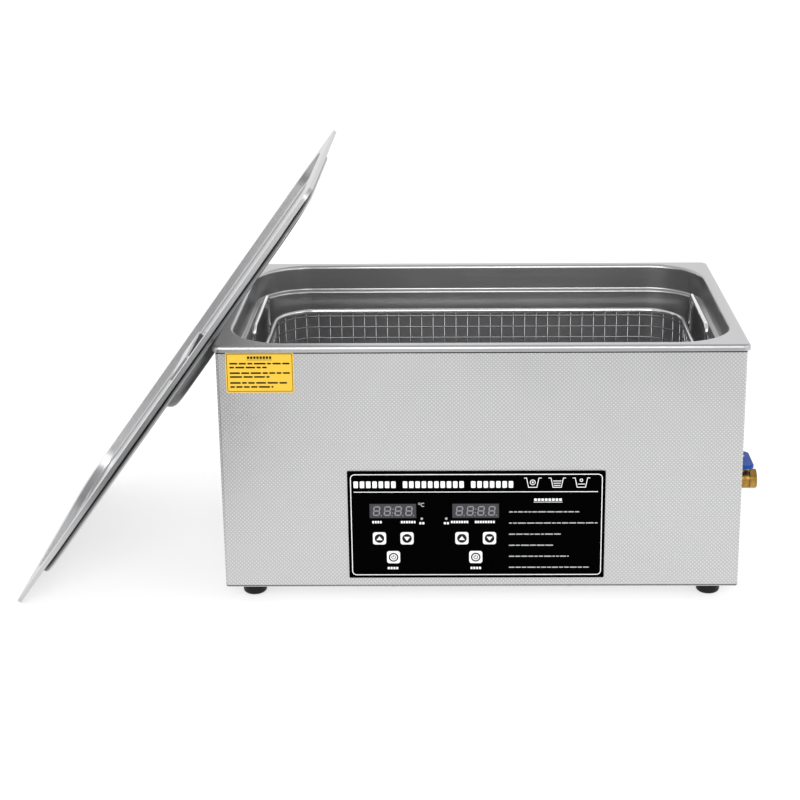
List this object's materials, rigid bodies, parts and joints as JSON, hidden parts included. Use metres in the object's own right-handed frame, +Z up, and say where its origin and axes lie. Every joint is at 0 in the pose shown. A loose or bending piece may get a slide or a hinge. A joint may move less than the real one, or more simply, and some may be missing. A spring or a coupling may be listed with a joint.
{
  "type": "ultrasonic cleaner",
  "caption": "Benchtop ultrasonic cleaner: stainless tank in a sheet steel cabinet with wire basket, leaning pan lid, front control panel and side drain valve.",
  "frame": {"origin": "middle of the cabinet's footprint, on the surface that the feet stand on", "axes": "+X to the right along the control panel, towards the drain valve; +Y to the back; +Z up"},
  "size_m": [0.7833, 0.331, 0.436],
  "materials": {
    "tank_steel": "deep drawn stainless steel, satin",
    "cabinet_steel": "stainless steel sheet embossed with a fine diamond grid of dots",
    "lid_steel": "pressed stainless steel, satin",
    "plain_steel": "plain stainless steel",
    "handle_steel": "polished stainless steel",
    "wire_steel": "electropolished stainless wire",
    "screw_steel": "zinc plated steel",
    "bright_chrome": "bright plating",
    "seal_rubber": "silicone strip",
    "foot_rubber": "moulded black rubber",
    "heater_rubber": "silicone heater mat",
    "brass": "machined brass, dull",
    "blue_enamel": "blue dipped vinyl over steel",
    "raw_aluminium": "turned aluminium",
    "piezo_ceramic": "silvered ceramic",
    "circuit_board": "green solder mask",
    "transformer_core": "ferrite and tape",
    "capacitor_plastic": "sleeved can",
    "white_plastic": "fluoropolymer",
    "black_plastic": "moulded black plastic",
    "panel_black": "black printed fascia",
    "key_plastic": "white key with a black disc",
    "display_grey": "grey seven-segment display",
    "lamp_lens": "unlit lamp",
    "rocker_red": "red rocker",
    "label_yellow": "yellow film label",
    "label_silver": "silver film label"
  },
  "bodies": {
    "cabinet": {"tank": "tank_steel", "rim_gasket": "seal_rubber", "outer_casing": "cabinet_steel", "bottom_plate": "plain_steel", "rubber_feet": "foot_rubber", "foot_screws": "screw_steel", "panel_screws": "screw_steel", "side_handle_plates": "handle_steel", "drain_spud": "plain_steel", "drain_locknut": "brass", "drain_elbow": "plain_steel", "valve_body": "brass", "valve_outlet": "brass", "valve_seats": "white_plastic", "stem_packing_nut": "brass", "transducer_front_masses": "raw_aluminium", "piezo_rings": "piezo_ceramic", "transducer_back_masses": "plain_steel", "transducer_bolts": "screw_steel", "heater_mats": "heater_rubber", "thermal_cutout": "black_plastic", "temperature_probe": "plain_steel", "generator_board": "circuit_board", "heat_sink": "raw_aluminium", "output_transformer": "transformer_core", "capacitors": "capacitor_plastic", "board_spacers": "brass", "control_panel": "panel_black", "control_board": "circuit_board", "tact_switches": "black_plastic", "display_modules": "display_grey", "status_lamps": "lamp_lens", "fan_frame": "black_plastic", "fan_guard": "bright_chrome", "mains_inlet": "black_plastic", "inlet_pins": "brass", "switch_bezel": "black_plastic", "caution_label": "label_yellow", "rating_plate": "label_silver"},
    "lid": {"lid_pan": "lid_steel", "lid_handle": "handle_steel"},
    "basket": {"basket_walls": "wire_steel", "basket_floor": "wire_steel", "basket_frame": "wire_steel", "basket_handles": "wire_steel", "basket_feet": "wire_steel"},
    "drain_lever": {"valve_lever": "blue_enamel", "lever_nut": "screw_steel", "valve_stem": "brass", "valve_ball": "bright_chrome"},
    "left_bail": {"left_handle_bail": "handle_steel"},
    "right_bail": {"right_handle_bail": "handle_steel"},
    "fan_rotor": {"fan_rotor": "black_plastic"},
    "power_rocker": {"power_rocker": "rocker_red"},
    "temperature_up_key": {"temperature_up_key": "key_plastic"},
    "temperature_down_key": {"temperature_down_key": "key_plastic"},
    "heater_key": {"heater_key": "key_plastic"},
    "time_up_key": {"time_up_key": "key_plastic"},
    "time_down_key": {"time_down_key": "key_plastic"},
    "timer_key": {"timer_key": "key_plastic"}
  },
  "joints": [
    {"name": "lid_tilt", "type": "hinge", "parent": "cabinet", "child": "lid", "pos_m": [-0.47901, 0, 0.00235], "axis": [0, -1, 0], "range_deg": [0, 125]},
    {"name": "basket_lift", "type": "slide", "parent": "cabinet", "child": "basket", "axis": [0, 0, 1], "range_m": [0, 0.04]},
    {"name": "valve_turn", "type": "hinge", "parent": "cabinet", "child": "drain_lever", "pos_m": [0.286, 0, 0.0944], "axis": [0, 0, 1], "range_deg": [0, 90]},
    {"name": "left_bail_swing", "type": "hinge", "parent": "cabinet", "child": "left_bail", "pos_m": [-0.269, 0, 0.172], "axis": [0, 1, 0], "range_deg": [0, 90]},
    {"name": "right_bail_swing", "type": "hinge", "parent": "cabinet", "child": "right_bail", "pos_m": [0.269, 0, 0.172], "axis": [0, -1, 0], "range_deg": [0, 90]},
    {"name": "fan_spin", "type": "hinge", "parent": "cabinet", "child": "fan_rotor", "pos_m": [-0.12, 0.1493, 0.075], "axis": [0, 1, 0], "continuous": true},
    {"name": "rocker_tip", "type": "hinge", "parent": "cabinet", "child": "power_rocker", "pos_m": [0.095, 0.1563, 0.075], "axis": [1, 0, 0], "range_deg": [0, 18]},
    {"name": "temperature_up_press", "type": "slide", "parent": "cabinet", "child": "temperature_up_key", "axis": [0, 1, 0], "range_m": [0, 0.0005], "stiffness_N_per_m": 300},
    {"name": "temperature_down_press", "type": "slide", "parent": "cabinet", "child": "temperature_down_key", "axis": [0, 1, 0], "range_m": [0, 0.0005], "stiffness_N_per_m": 300},
    {"name": "heater_press", "type": "slide", "parent": "cabinet", "child": "heater_key", "axis": [0, 1, 0], "range_m": [0, 0.0005], "stiffness_N_per_m": 300},
    {"name": "time_up_press", "type": "slide", "parent": "cabinet", "child": "time_up_key", "axis": [0, 1, 0], "range_m": [0, 0.0005], "stiffness_N_per_m": 300},
    {"name": "time_down_press", "type": "slide", "parent": "cabinet", "child": "time_down_key", "axis": [0, 1, 0], "range_m": [0, 0.0005], "stiffness_N_per_m": 300},
    {"name": "timer_press", "type": "slide", "parent": "cabinet", "child": "timer_key", "axis": [0, 1, 0], "range_m": [0, 0.0005], "stiffness_N_per_m": 300}
  ]
}
